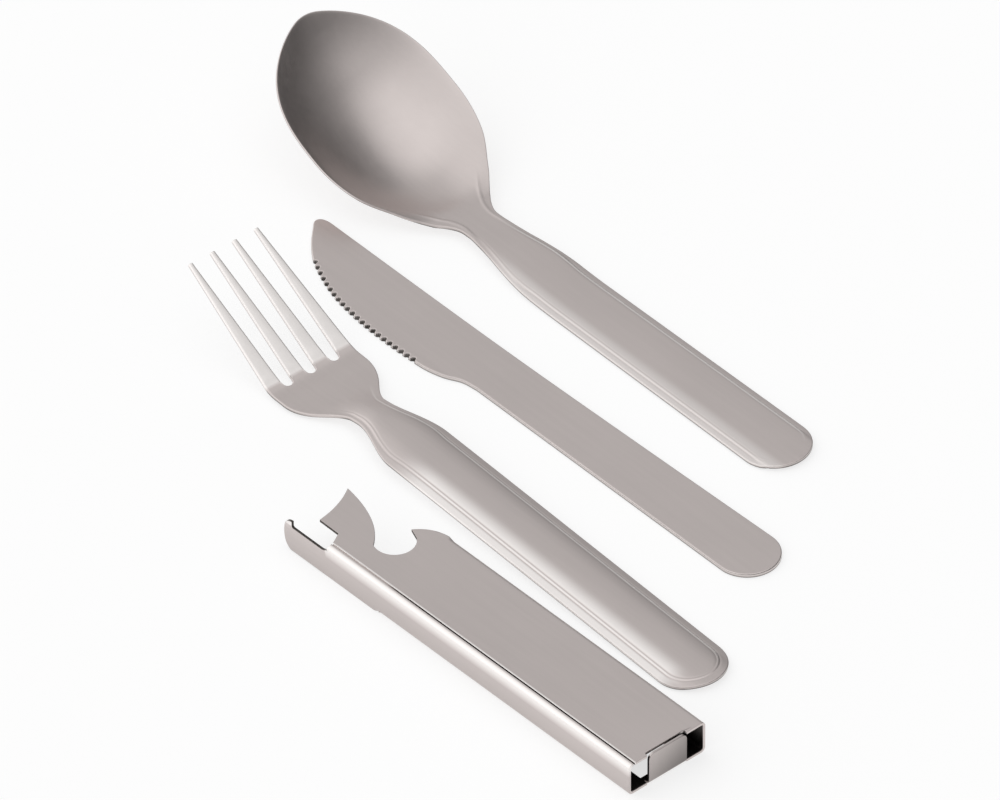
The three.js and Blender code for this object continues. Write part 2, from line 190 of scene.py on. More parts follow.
def set_down(obj, node):
    """Turns a piece as it lies and moves it into the middle of its CAD node's box, on that box's floor."""
    obj.data.transform(Matrix.Rotation(math.radians(TURN[node]), 4, "Z"))
    low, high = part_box(node)
    points = np.array([v.co for v in obj.data.vertices])
    middle = (points.min(0) + points.max(0)) / 2
    shift = (low + high) / 2 - Vector(middle)
    shift.z = low.z - points[:, 2].min()
    obj.data.transform(Matrix.Translation(shift))


# ---------------------------------------------------------------- pressed handles

HANDLE = {
    "spoon": {"end": 10.0, "shoulder": 9.5, "shoulder_y": 97, "neck": 5.75, "neck_y": 125},
    "fork": {"end": 10.3, "shoulder": 10.1, "shoulder_y": 118, "neck": 5.9, "neck_y": 136},
}
# The last value of a panel is how much painted shade its grooves get. Its "fade" is where it starts to run
# out, and over what length.
PANEL = {
    "spoon": {
        "rim": 1.7, "neck_rim": 1.0, "groove": 0.05, "step": 0.09, "lean": 0.10,
        "round": 1.3, "rise": 0.15, "crown": 0.0025, "fade": (112, 12), "groove_shade": 0.35,
    },
    "fork": {
        "rim": 2.3, "neck_rim": 1.3, "groove": 0.06, "step": 0.10, "lean": 0.1,
        "round": 5.0, "rise": 0.5, "crown": 0.006, "fade": (132, 16), "groove_shade": 1.1,
    },
}
PANEL_STEP = (-0.1, 0.6)  # where the panel's step starts inside the border, and its width
RIM_NARROWS = {"before": 4, "length": 14}  # the border narrows from here before the shoulder
GROOVES = (0, 0.85)  # how far inside the border they run
GROOVE_WIDTH = 0.2
PANEL_PAINTED_LINES = {"step": 0.43, "step_width": 0.28, "groove_width": 0.18}  # painted lines of highlight and shade beside the step
OUTLINE_SPACING = 0.7
# Distances from the outline at which a handle's mesh has a line of points.
HANDLE_DEPTHS = [0, 0.45, 0.9, 1.3, 1.5, 1.7, 1.9, 2.1, 2.3, 2.5, 2.7, 2.9, 3.1, 3.3, 3.6, 4.1, 4.8]


def flank_half(name, y):
    """Half width of a handle's straight sides and neck, without its round end."""
    h = HANDLE[name]
    straight = lerp(h["end"], h["shoulder"], np.clip((y - h["end"]) / (h["shoulder_y"] - h["end"]), 0, 1))
    return lerp(straight, h["neck"], eased(y, h["shoulder_y"], h["neck_y"] - h["shoulder_y"]))


def handle_half(name, y):
    """Half width of a handle, from its round end to its neck."""
    end = HANDLE[name]["end"]
    y = np.asarray(y, float)
    cap = np.sqrt(np.maximum(0, end**2 - (end - np.minimum(y, end)) ** 2))
    return np.where(y < end, cap, flank_half(name, y))


def panel_rim(name, y):
    """Width of the border round the panel, which narrows toward the neck."""
    p = PANEL[name]
    beyond = y - HANDLE[name]["shoulder_y"] + RIM_NARROWS["before"]
    return lerp(p["rim"], p["neck_rim"], smooth(beyond / RIM_NARROWS["length"]))


def panel_fade(name, y):
    """1 along the handle and 0 beyond the neck, where the panel has run out."""
    return 1 - eased(y, *PANEL[name]["fade"])


def panel_height(name, x, y, depth):
    """Height of the pressed handle: a border that leans outward, a groove, and a raised panel that is rounded
    toward both sides and runs out level at the end."""
    p = PANEL[name]
    rim = panel_rim(name, y)
    flank = flank_half(name, y) - np.abs(x)
    depth = np.maximum(depth, flank) if name == "spoon" else depth
    inside, beside = depth - rim, flank - rim
    shoulder = 1 - (1 - np.clip(beside / p["round"], 0, 1)) ** 2
    groove = p["groove"] * sum(np.exp(-(((inside - at) / GROOVE_WIDTH) ** 2)) for at in GROOVES)
    border = p["lean"] * np.minimum(0, np.maximum(beside, -rim))
    step = p["step"] * eased(inside, *PANEL_STEP)
    return step + p["rise"] * shoulder + border - groove - p["crown"] * x * x


def rays(outline, centres, depths, inner):
    """Points on the lines from each point of an outline to its centre, and their distance from the outline.
    The first points keep to the given depths, and the inner ones share out what is left."""
    away = centres - outline
    reach = np.hypot(*away.T)
    direction = away / np.maximum(reach, 1e-9)[:, None]
    along = np.gradient(outline, axis=0)
    along /= np.maximum(np.hypot(*along.T), 1e-9)[:, None]
    facing = np.clip(np.abs(direction[:, 0] * along[:, 1] - direction[:, 1] * along[:, 0]), 0.4, 1)
    rim = np.array(depths)[None, :] / facing[:, None]
    rim *= np.minimum(1, 0.8 * reach / np.maximum(rim[:, -1], 1e-9))[:, None]
    share = np.linspace(0, 1, inner + 1)[None, 1:]
    offsets = np.hstack([rim, rim[:, -1:] + (reach[:, None] - rim[:, -1:]) * share])
    points = outline[:, None, :] + direction[:, None, :] * offsets[:, :, None]
    return points, offsets * facing[:, None]


def grid_faces(rows, columns, first=0):
    index = np.arange(rows * columns).reshape(rows, columns) + first
    a, b, c, d = index[:-1, :-1], index[:-1, 1:], index[1:, 1:], index[1:, :-1]
    return np.stack([a, b, c, d], -1).reshape(-1, 4).tolist()


def both_sides(points, depths):
    """A grid from the right outline across the centre line to the left outline, with its columns along -x."""
    left = points[:, -2::-1] * np.array([-1, 1])
    return np.concatenate([points, left], 1), np.concatenate([depths, depths[:, -2::-1]], 1)


# ---------------------------------------------------------------- spoon

BOWL = {"y": 162.4, "half_length": 32.5, "half_width": 24.4, "pole": 15.0}
BOWL_FROM = 130  # up to here the outline is the handle's
BOWL_ROUND = 1.15  # the section's exponent
BRIM = {"from": 132, "z": 3.4, "slope": 0.28, "curve": 0.0025}  # the brim rises toward the tip
SPOON_ARCH = {"z": 2.2, "rise": 1.7, "over": (86, 36)}
SPOON_BLEND = (122, 16)  # where the handle turns into the bowl
BOWL_GAUGE = {"over": (128, 14), "thinner": 0.45, "tip": 0.2, "tip_over": (180, 12), "rim": 4}
BOWL_TOE = 193.8  # from here on the outline is an arc
NECK_RIDGE = {"from": 118, "to": 142, "depth": (0.7, 3.4), "height": 0.13, "width": 0.45}
# The floor and BOWL_ROUND are fitted to the photograph. The CAD's bowl has other values and is deeper.
BOWL_FLOOR = [(112, 3.6), (122, 3.9), (132, 3.5), (142, 2.0), (150, 1.9), (160, 4.3), (170, 9.0), (180, 15.6)]
BOWL_FLOOR += [(190, 24.8), (194.54, 30.69)]  # the last is level with the brim at the tip
SPOON_NECK = [(92, 9.5), (97, 9.45), (102, 9.1), (108, 8.2), (114, 7.05), (119, 6.3), (123, 5.95), (126, 6.1)]
SPOON_NECK += [(129, 7.5), (132, 9.7), (135, 12.1), (138, 14.5), (141, 16.6), (144, 18.6), (147, 20.2)]
SPOON_NECK += [(152, 22)]
NECK_IN, NECK_OUT = (92, 10), (141, 8)  # where SPOON_NECK takes over the outline and where it lets go


def toe_half(y):
    t = np.clip((y - BOWL["y"]) / BOWL["half_length"], 0, 1)
    return BOWL["half_width"] * (1 - t**3) ** 0.75


def toe_arc():
    """Centre and radius of the arc that closes the bowl's outline."""
    half = toe_half(BOWL_TOE)
    slope = (toe_half(BOWL_TOE + 0.01) - toe_half(BOWL_TOE - 0.01)) / 0.02
    return BOWL_TOE + half * slope, half * math.hypot(1, slope)


def spoon_half(y):
    y = np.asarray(y, float)
    t = np.clip((y - BOWL["y"]) / BOWL["half_length"], -1, 0)
    heel = BOWL["half_width"] * (1 - t**2) ** 0.63
    centre, radius = toe_arc()
    closing = np.sqrt(np.maximum(0, radius**2 - (y - centre) ** 2))
    toe = np.where(y > BOWL_TOE, closing, toe_half(y))
    neck = eased(y, *NECK_IN) * (1 - eased(y, *NECK_OUT))
    body = np.where(y > BOWL_FROM, np.where(y > BOWL["y"], toe, heel), handle_half("spoon", y))
    return lerp(body, through(SPOON_NECK, y), neck)


def spoon_height(x, y, depth):
    half = np.maximum(spoon_half(y), 1e-6)
    floor = through(BOWL_FLOOR, y)
    along = np.maximum(0, y - BRIM["from"])
    brim = np.maximum(floor, BRIM["z"] + BRIM["slope"] * along + BRIM["curve"] * along**2)
    across = np.maximum(0, 1 - (x / half) ** 2) ** BOWL_ROUND
    bowl = lerp(brim, floor, across)
    arch = SPOON_ARCH["z"] + SPOON_ARCH["rise"] * eased(y, *SPOON_ARCH["over"])
    handle = arch + panel_height("spoon", x, y, depth) * panel_fade("spoon", y)
    r = NECK_RIDGE
    way = (y - r["from"]) / (r["to"] - r["from"])
    from_ridge = (depth - lerp(*r["depth"], smooth(way))) / r["width"]
    ridge = r["height"] * smooth(way * 5) * smooth((1 - way) * 3) * np.exp(-(from_ridge**2))
    return lerp(handle, bowl, eased(y, *SPOON_BLEND)) + ridge


def make_spoon():
    tip = sum(toe_arc())
    ys = tip * (1 - np.cos(np.linspace(0, np.pi, 4000))) / 2  # closest together at both ends
    outline = evenly(np.stack([spoon_half(ys), ys], 1), OUTLINE_SPACING)
    outline[0, 0] = outline[-1, 0] = 0
    pole = np.clip(outline[:, 1], HANDLE["spoon"]["end"], tip - BOWL["pole"])
    centres = np.stack([outline[:, 0] * 0, pole], 1)
    points, depths = both_sides(*rays(outline, centres, HANDLE_DEPTHS, 16))
    return surface("spoon_sheet", points, depths, spoon_height)


def bowl_gauge(obj):
    """Share of the sheet's thickness at every point: the bowl's rim is thinner, most at its tip."""
    depth = rim_distance(obj)
    y = np.array([v.co.y for v in obj.data.vertices]) / MM
    g = BOWL_GAUGE
    thinner = g["thinner"] + g["tip"] * eased(y, *g["tip_over"])
    return 1 - eased(y, *g["over"]) * thinner * (1 - smooth(depth / g["rim"]))


def surface(name, points, depths, height, faces=None):
    """A mesh object over plan points, at the height that the height function gives."""
    plan, depth = points.reshape(-1, 2), depths.reshape(-1)
    z = height(plan[:, 0], plan[:, 1], depth)
    vertices = np.column_stack([plan, z]) * MM
    if faces is None:
        faces = [f[::-1] for f in grid_faces(*points.shape[:2])]
    obj = mesh_object(name, vertices, faces)
    rim = obj.data.attributes.new("rim_mm", "FLOAT", "POINT")
    rim.data.foreach_set("value", depth.astype(np.float32))
    weld(obj)
    return obj


# ---------------------------------------------------------------- fork

HEAD = {"root_y": 161.5, "tip_y": 196.4, "root": 14.2, "tip": 11.7}
HEAD |= {"flare_y": 143.5, "flare": 6, "blend": 4.5}
SLOTS = {"root_pitch": 7.8, "tip_pitch": 7.4, "root_width": 3.2, "tip_width": 6.2, "past": 3}
FORK_SPINE = [(0, 1.6), (60, 2.9), (118, 4.1), (134, 4.3), (141, 3.1), (148, 1.75), (152, 1.5), (156, 1.6)]
FORK_SPINE += [(160.6, 1.9), (162.0, 2.35), (164.0, 3.4), (172, 7.8), (180, 12.2), (HEAD["tip_y"], 21.2)]
TINES = 4
TINE_COLUMNS = 7
SLOT_CELLS = 8
TINE_ROWS = 70
TINE_ROUND = {"drop": 0.05, "width": 1.2, "over": 4}  # the tines' edges are rounded a little
HEAD_BLEND = (134, 18)  # where the mesh's lines turn into the head's columns
DIP_LENGTH = 5  # over this length the lines bend down round the slots' ends


def fork_half(y):
    y = np.asarray(y, float)
    h = HEAD
    handle = handle_half("fork", y)
    opening = np.clip((y - h["flare_y"] + h["flare"]) / (h["root_y"] - h["flare_y"]), 0, 1)
    head = h["root"] * np.sin(opening * np.pi / 2) ** 0.8
    body = np.where(y < h["flare_y"] - h["flare"], handle, smooth_max(handle, head, h["blend"]))
    outer = lerp(h["root"], h["tip"], (y - h["root_y"]) / (h["tip_y"] - h["root_y"]))
    return np.where(y < h["root_y"], body, outer)


def fork_height(x, y, depth):
    tine = eased(y, HEAD["root_y"], TINE_ROUND["over"])
    rounding = TINE_ROUND["drop"] * tine * (1 - np.minimum(depth / TINE_ROUND["width"], 1)) ** 2
    return through(FORK_SPINE, y) + panel_height("fork", x, y, depth) * panel_fade("fork", y) - rounding


def head_columns(y):
    """The x of every column of the head at y, from right to left: the tines and the slots between them."""
    share = max(0.0, (y - HEAD["root_y"]) / (HEAD["tip_y"] - HEAD["root_y"]))
    full = 1 + SLOTS["past"] / (HEAD["tip_y"] - HEAD["root_y"])
    width = lerp(SLOTS["root_width"], SLOTS["tip_width"], share / full)
    pitch = lerp(SLOTS["root_pitch"], SLOTS["tip_pitch"], share / full)
    outer = lerp(HEAD["root"], HEAD["tip"], share)
    edges = [outer]
    for place in (1, 0, -1):
        edges += [place * pitch + width / 2, place * pitch - width / 2]
    edges.append(-outer)
    columns = []
    for i in range(0, 2 * TINES, 2):
        right, left = edges[i], edges[i + 1]
        wide = right - left
        first, second = min(0.3 * wide, 0.5), min(0.4 * wide, 1.3)
        offsets = (0, first, second, wide / 2, wide - second, wide - first, wide)
        columns += [right - offset for offset in offsets]
        if i < 2 * TINES - 2:
            middle, radius = (edges[i + 1] + edges[i + 2]) / 2, (edges[i + 1] - edges[i + 2]) / 2
            columns += [middle + radius * math.cos(math.pi * k / SLOT_CELLS) for k in range(1, SLOT_CELLS)]
    return np.array(columns)


def slot_dip():
    """How far each column's end lies below the roots' line: a half circle in a slot, and 0 on a tine."""
    radius = SLOTS["root_width"] / 2
    dip = []
    for i in range(TINES):
        dip += [0.0] * TINE_COLUMNS
        if i < TINES - 1:
            dip += [radius * math.sin(math.pi * k / SLOT_CELLS) for k in range(1, SLOT_CELLS)]
    return np.array(dip)


def make_fork():
    end = HANDLE["fork"]["end"]
    round_end = end * (1 - np.cos(np.linspace(0, np.pi / 2, 400)))
    ys = np.concatenate([round_end, np.linspace(end + 0.1, HEAD["root_y"], 3000)])
    outline = evenly(np.stack([fork_half(ys), ys], 1), OUTLINE_SPACING)
    outline[0, 0] = 0
    centres = np.stack([outline[:, 0] * 0, np.maximum(outline[:, 1], end)], 1)
    columns = len(slot_dip())
    inner = (columns + 1) // 2 - len(HANDLE_DEPTHS)
    points, depths = both_sides(*rays(outline, centres, HANDLE_DEPTHS, inner))
    root_columns = head_columns(HEAD["root_y"]) / HEAD["root"]
    share = eased(points[:, :, 1], *HEAD_BLEND)
    head_x = fork_half(points[:, :, 1]) * root_columns[None, :]
    points[:, :, 0] = lerp(points[:, :, 0], head_x, share)
    near = smooth((points[:, :, 1] - HEAD["root_y"] + DIP_LENGTH) / DIP_LENGTH)
    points[:, :, 1] -= slot_dip()[None, :] * near
    rows = points.shape[0]
    faces = [f[::-1] for f in grid_faces(rows, columns)]
    plan, depth = [points.reshape(-1, 2)], [depths.reshape(-1)]
    tine_ys = HEAD["root_y"] + (HEAD["tip_y"] - HEAD["root_y"]) * np.linspace(0, 1, TINE_ROWS)
    cells = np.stack([head_columns(y) for y in tine_ys])
    start = sum(len(p) for p in plan)
    step = TINE_COLUMNS + SLOT_CELLS - 1
    for tine in range(TINES):
        x = cells[:, tine * step : tine * step + TINE_COLUMNS]
        block = np.stack([x, np.repeat(tine_ys[:, None], x.shape[1], 1)], -1)
        edge = np.minimum(x[:, :1] - x, x - x[:, -1:])
        faces += [f[::-1] for f in grid_faces(*x.shape, first=start)]
        plan.append(block.reshape(-1, 2))
        depth.append(edge.reshape(-1))
        start += x.size
    return surface("fork_sheet", np.concatenate(plan), np.concatenate(depth), fork_height, faces)


# ---------------------------------------------------------------- knife

KNIFE = {"end": 9.0, "edge_round": 0.3, "low_round": 0.15, "tip_pole": 168.0, "tip_from": 176}
KNIFE_HANDLE_END = (104, -8.1)
KNIFE_EDGE = [KNIFE_HANDLE_END, (109, -8.9), (113, -10.9), (118, -12.3), (125, -12.9), (133, -13.1)]
KNIFE_EDGE += [(147, -12.4), (157, -10.7), (165, -8.0), (171, -5.1), (177, -0.4), (181.2, 4.0)]
KNIFE_SPINE = [(9, 9.0), (60, 8.2), (110, 7.7), (150, 7.9), (178.6, 8.2)]
KNIFE_TIP = bezier((8.2, 178.6), (8.1, 182.9), (5.6, 183.2), (4.0, 181.2), steps=60)
SCALLOPS = {"from": 122.5, "to": 171.0, "count": 22, "half": 0.85, "slope": 1.65, "reach": 1.1}
KNIFE_DEPTHS = [0, 0.03, 0.09, 0.18, 0.3, 0.42, 0.55, 0.7, 0.85, 1.0, 1.2, 1.5, 1.9, 2.5, 3.3]
KNIFE_INNER = 7
NOTCH_EASE = 0.4  # a gouge is shallower by this much for each mm of notch
FULL_PAINTED_DARK = 0.25  # a gouge this deep gets the full painted shade of the scallops' hollows
KNIFE_ROWS = {"end": 24, "handle": 150, "scallops": 253, "blade": 12, "tip": 30}


def knife_sides(y):
    """Spine and cutting edge of the blank at y."""
    tip_x, tip_y = np.array(KNIFE_TIP).T
    top = int(np.argmax(tip_y))
    end = KNIFE["end"]
    cap = np.sqrt(np.maximum(0, end**2 - (end - np.minimum(y, end)) ** 2))
    spine = np.where(y < end, cap, through(KNIFE_SPINE, y))
    spine = np.where(y > tip_y[0], np.interp(y, tip_y[: top + 1], tip_x[: top + 1]), spine)
    handle_y, handle_x = KNIFE_HANDLE_END
    handle = np.interp(y, [end, handle_y], [-end, handle_x])
    edge = np.where(y < end, -cap, np.where(y < handle_y, handle, through(KNIFE_EDGE, y)))
    edge = np.where(y > tip_y[-1], np.interp(y, tip_y[top:][::-1], tip_x[top:][::-1]), edge)
    return spine, edge


def scallop_depth(run):
    """How deep the scallops, cut by grinding, are at the very edge, at y along it."""
    c = SCALLOPS
    pitch = (c["to"] - c["from"]) / c["count"]
    off = (np.mod(run - c["from"], pitch) - pitch / 2) / c["half"]
    inside = (run > c["from"]) & (run < c["to"])
    return np.where(inside, np.maximum(0, 1 - off * off), 0) * c["slope"] * c["reach"]


def knife_station_ys():
    """Where the blank's mesh has a row of points, closest together along the scallops."""
    top, tip_from, rows = max(y for x, y in KNIFE_TIP), KNIFE["tip_from"], KNIFE_ROWS
    round_end = KNIFE["end"] * (1 - np.cos(np.linspace(0, np.pi / 2, rows["end"])))
    tip = tip_from + (top - tip_from) * np.sin(np.linspace(0, np.pi / 2, rows["tip"]))
    fine = np.linspace(SCALLOPS["from"] - 1, SCALLOPS["to"] + 1, rows["scallops"])
    handle = np.linspace(KNIFE["end"], fine[0], rows["handle"])
    blade = np.linspace(fine[-1], tip_from, rows["blade"])
    return np.concatenate([round_end, handle[1:], fine[1:], blade[1:], tip[1:]])


def rounded_edge(depth, radius):
    """How far a rounded edge has dropped, at a depth from the outline."""
    inside = np.clip(radius - depth, 0, radius)
    return radius - np.sqrt(radius**2 - inside**2)


def spine_to_edge(spine_side, edge_side):
    """One grid from the spine's outline across the middle to the cutting edge's."""
    return np.concatenate([spine_side, edge_side[:, -2::-1]], 1)


def make_knife():
    """Both faces of the blank over the same plan, stitched along the outline."""
    ys = knife_station_ys()
    spine, edge = knife_sides(ys)
    pole = np.clip(ys, KNIFE["end"], KNIFE["tip_pole"])
    middle = sum(knife_sides(pole)) / 2
    middle = np.where(ys < KNIFE["end"], 0, middle)
    centres = np.stack([middle, pole], 1)
    points, heights, painted_darks = [], [], []
    for side in (spine, edge):
        outline = np.stack([side, ys], 1)
        plan, depth = rays(outline, centres, KNIFE_DEPTHS, KNIFE_INNER)
        cut_at_edge = scallop_depth(ys)[:, None] if side is edge else np.zeros((len(ys), 1))
        gouge = np.maximum(0, cut_at_edge - SCALLOPS["slope"] * depth)
        blank = KNIFE_THICKNESS - KNIFE["edge_round"]
        notch = np.maximum(0, (cut_at_edge - blank) / SCALLOPS["slope"])
        away = centres - outline
        away /= np.maximum(np.hypot(*away.T), 1e-9)[:, None]
        keep = np.maximum(0, 1 - depth / SCALLOPS["reach"])
        plan = plan + away[:, None, :] * (notch * keep)[:, :, None]
        shallower = gouge * (1 - notch * NOTCH_EASE)
        drop = np.minimum(np.maximum(shallower, rounded_edge(depth, KNIFE["edge_round"])), blank)
        points.append(plan)
        heights.append(KNIFE_THICKNESS - drop)
        # Painted shade in the scallops' hollows: the deeper the gouge, the darker.
        painted_darks.append(np.clip(gouge / FULL_PAINTED_DARK, 0, 1))
    plan, top, painted_dark = spine_to_edge(*points), spine_to_edge(*heights), spine_to_edge(*painted_darks)
    depths = np.array(KNIFE_DEPTHS + [9] * KNIFE_INNER)  # 9 is past any rounding
    low = rounded_edge(np.concatenate([depths, depths[-2::-1]]), KNIFE["low_round"])
    low = low[None, :].repeat(len(ys), 0)
    rows, columns = top.shape
    size = rows * columns
    plan = plan.reshape(-1, 2)
    faces_of = [np.column_stack([plan, z.reshape(-1)]) for z in (top, low)]
    vertices = np.vstack(faces_of) * MM
    faces = [f[::-1] for f in grid_faces(rows, columns)] + grid_faces(rows, columns, size)
    for k, turn in ((0, 1), (columns - 1, -1)):
        line = (np.arange(rows) * columns + k).tolist()
        for a, b in zip(line, line[1:]):
            faces.append([a, b, b + size, a + size][::turn])
    obj = mesh_object("knife_blank", vertices, faces)
    # The knife's painted shade is kept as a point attribute.
    mask = obj.data.attributes.new("painted_dark", "FLOAT", "POINT")
    mask.data.foreach_set("value", np.tile(painted_dark.reshape(-1), 2).astype(np.float32))
    weld(obj)
    return obj


# ---------------------------------------------------------------- case

CASE = {"width": 26.4, "height": 10.0, "channel": 95.8, "flange": 115.9, "bend": 1.5, "seam_x": -11.1}
CASE |= {"gap": 0.4, "corner": 0.3, "unfold": 2.2}  # past the channel the folds flatten over "unfold"
TAB = {"half": 6.5, "corner": 1.8, "play": 0.3, "notch": 1.5, "notch_corner": 0.7, "inset": 0.4}
TAB |= {"relief": 1.6, "strip": 3.0, "window": 10.6}
OPENER = {"right": 13.0, "hook_y": 96.7, "crown": 5.0, "hook_tip": (7.6, 106.5), "throat": (6.3, 103.0)}
MOUTH = {"x": 1.5, "y": 106.2, "radius": 5.75, "end": 158.0}
BLADE = {"cusp": (-3.8, 108.4), "belly": (4.4, 114.4), "tip": (6.3, 129.6), "hollow": (0.4, 125.8)}
BLADE |= {"heel": (-7.4, 125.1), "root": (-7.5, 117.8)}
WALL = {"foot": 0.1, "toe_y": 129.8, "nose_y": 132.4, "nose_z": 5.5, "horn_y": 129.4, "horn_z": 9.7}
WALL |= {"ledge": 7.9, "bend_y": 116.6, "shoulder_y": 118.4, "ease": 0.6}
FOLD_STEPS = 10
STRIP_CELLS = {0: 9, 2: 3, 4: 9, 6: 3}  # rows of cells in each flat stretch of the strip
CHANNEL_CELLS = 34
OPENER_LINES = (100, 127, 11)
SEAM_EDGE = (0.35, 0.5)  # a painted highlight along the top plate's edge ends between these widths


def case_strip():
    """Where the flat strip's stretches start, measured across it from the edge beside the seam."""
    half, bend = CASE["width"] / 2, CASE["bend"]
    turn = bend * math.pi / 2
    lengths = [half - bend - CASE["seam_x"], turn, CASE["height"] - 2 * bend, turn, 2 * (half - bend), turn]
    lengths += [CASE["height"] - 2 * bend, turn, CASE["seam_x"] - CASE["gap"] + half - bend]
    return np.concatenate([[0], np.cumsum(lengths)])


def case_outline():
    """The strip's outline before it is folded: across it, and along it."""
    at = case_strip()
    bend, corner = CASE["bend"], CASE["corner"]
    top = lambda x: x - CASE["seam_x"]
    bottom = lambda x: at[4] + CASE["width"] / 2 - bend - x
    wall = lambda z: at[6] + z - bend
    low, notch, relief = TAB["inset"], TAB["notch"], TAB["relief"]
    slit = TAB["half"] + TAB["play"]
    tab_end = bend - bend * math.pi / 2 - (CASE["height"] - bend)
    half, tab_corner, inner = TAB["half"], TAB["corner"], TAB["notch_corner"]
    points = [(0, low), (top(-slit), low)]
    points += arc(top(-slit) + inner, notch - inner, inner, 180, 90, 5)
    points += arc(top(slit) - inner, notch - inner, inner, 90, 0, 5)
    points += [(top(slit), low), (bottom(slit), low), (bottom(slit), relief), (bottom(half), relief)]
    points += arc(bottom(half) + tab_corner, tab_end + tab_corner, tab_corner, 180, 270, 8)
    points += arc(bottom(-half) - tab_corner, tab_end + tab_corner, tab_corner, 270, 360, 8)
    points += [(bottom(-half), relief), (bottom(-slit), relief), (bottom(-slit), low), (at[9], low)]
    points += arc(at[9] - corner, CASE["flange"] - corner, corner, 0, 90, 3)
    horn, horn_z, ledge, ease = WALL["horn_y"], wall(WALL["horn_z"]), wall(WALL["ledge"]), WALL["ease"]
    run_out = (at[7] + ease, CASE["flange"] + 0.1)
    points += bezier(run_out, (ledge, WALL["bend_y"]), (ledge, WALL["shoulder_y"]), steps=6)
    points += bezier((ledge, horn - ease), (ledge, horn), (ledge + ease, horn), steps=4)
    nose, nose_y, foot = wall(WALL["nose_z"]), WALL["nose_y"], wall(WALL["foot"])
    points += bezier((horn_z, horn), (horn_z, nose_y), (nose, nose_y), steps=10)
    points += bezier((nose, nose_y), (foot + 1, nose_y), (foot, WALL["toe_y"]), steps=8)[1:]
    points += [(foot, CASE["channel"]), (at[2], CASE["channel"])]
    right = top(OPENER["right"])
    tip_x, tip_y = OPENER["hook_tip"]
    crown = OPENER["crown"]
    hook = bezier(
        (right, OPENER["hook_y"]),
        (right, OPENER["hook_y"] + crown),
        (top(tip_x) + crown / 2, tip_y - crown / 3),
        (top(tip_x), tip_y),
        steps=24,
    )
    throat_x, throat_y = OPENER["throat"]
    start = math.degrees(math.atan2(throat_y - MOUTH["y"], throat_x - MOUTH["x"]))
    points += hook
    points += arc(top(MOUTH["x"]), MOUTH["y"], MOUTH["radius"], start, MOUTH["end"] - 360, 48)
    blade = [(top(x), y) for x, y in (BLADE["cusp"], BLADE["belly"], BLADE["tip"])]
    points += bezier(*blade, steps=24)[1:]
    blade_end = [(top(x), y) for x, y in (BLADE["tip"], BLADE["hollow"], BLADE["heel"])]
    points += bezier(*blade_end, steps=8)[1:]
    points.append((top(BLADE["root"][0]), BLADE["root"][1]))
    points += [(0, CASE["flange"])]
    return points


def fold(w, y):
    """Where a point of the flat strip lies on the folded case's outer face."""
    at = case_strip()
    half, height, bend = CASE["width"] / 2, CASE["height"], CASE["bend"]
    flat_end = eased(y, CASE["channel"], CASE["unfold"])
    turned = lambda i: (w - at[i]) / bend
    if w <= at[1]:
        return Vector((w + CASE["seam_x"], y, height))
    if w <= at[2]:
        a = turned(1)
        bent = Vector((half - bend + bend * math.sin(a), y, height - bend + bend * math.cos(a)))
        return bent.lerp(Vector((w + CASE["seam_x"], y, height)), float(flat_end))
    if w <= at[3]:
        return Vector((half, y, height - bend - (w - at[2])))
    if w <= at[4]:
        a = turned(3)
        return Vector((half - bend + bend * math.cos(a), y, bend - bend * math.sin(a)))
    if w <= at[5]:
        x = half - bend - (w - at[4])
        if y >= bend or abs(x) > TAB["half"] + 0.01:
            return Vector((x, y, 0))
        a = (bend - y) / bend
        if a <= math.pi / 2:
            return Vector((x, bend - bend * math.sin(a), bend - bend * math.cos(a)))
        return Vector((x, 0, bend - y - bend * math.pi / 2 + bend))
    if w <= at[6]:
        a = turned(5)
        bent = Vector((bend - half - bend * math.sin(a), y, bend - bend * math.cos(a)))
        return bent.lerp(Vector((-half, y, bend - (at[6] - w))), float(flat_end))
    if w <= at[7] or y > WALL["shoulder_y"]:
        return Vector((-half, y, bend + (w - at[6])))
    if w <= at[8]:
        a = turned(7)
        return Vector((bend - half - bend * math.cos(a), y, height - bend + bend * math.sin(a)))
    return Vector((bend - half + (w - at[8]), y, height))


def make_case():
    """The strip is cut along lines across and along it, folded point by point, and thickened inward."""
    bm = bmesh.new()
    bm.faces.new([bm.verts.new((w, y, 0)) for w, y in case_outline()])
    bm.normal_update()
    at = case_strip()
    across = [w for i in (1, 3, 5, 7) for w in np.linspace(at[i], at[i + 1], FOLD_STEPS + 1)]
    for i, cells in STRIP_CELLS.items():
        across += list(np.linspace(at[i], at[i + 1], cells + 1)[1:-1])
    slit = TAB["half"] + TAB["play"]
    window = [at[4] + CASE["width"] / 2 - CASE["bend"] - x for x in (slit, -slit)]
    across += window + list(SEAM_EDGE)
    along = list(np.linspace(CASE["channel"], CASE["channel"] + CASE["unfold"], 7)) + [WALL["shoulder_y"]]
    along += list(np.linspace(CASE["bend"], CASE["bend"] * (1 - math.pi / 2), FOLD_STEPS + 1))
    along += [TAB["relief"], TAB["strip"]]
    along += list(np.linspace(TAB["window"], CASE["channel"], CHANNEL_CELLS)[:-1])
    along += list(np.linspace(*OPENER_LINES))
    cuts = [((w, 0, 0), (1, 0, 0)) for w in across] + [((0, y, 0), (0, 1, 0)) for y in along]
    for point, normal in cuts:
        geometry = [*bm.verts, *bm.edges, *bm.faces]
        bmesh.ops.bisect_plane(bm, geom=geometry, dist=1e-5, plane_co=point, plane_no=normal)
    removed = []
    for f in bm.faces:
        w, y, z = f.calc_center_median()
        if window[0] < w < window[1] and TAB["strip"] < y < TAB["window"]:
            removed.append(f)
    bmesh.ops.delete(bm, geom=removed, context="FACES")
    for v in bm.verts:
        v.co = fold(v.co.x, v.co.y) * MM
    mesh = bpy.data.meshes.new("case_sheet")
    bm.to_mesh(mesh)
    bm.free()
    obj = bpy.data.objects.new("case_sheet", mesh)
    bpy.context.scene.collection.objects.link(obj)
    thicken(obj, CASE_SHEET, 0.12, 3)
    apply_modifiers(obj)
    paint_cut_edges_dark(obj)
    return obj


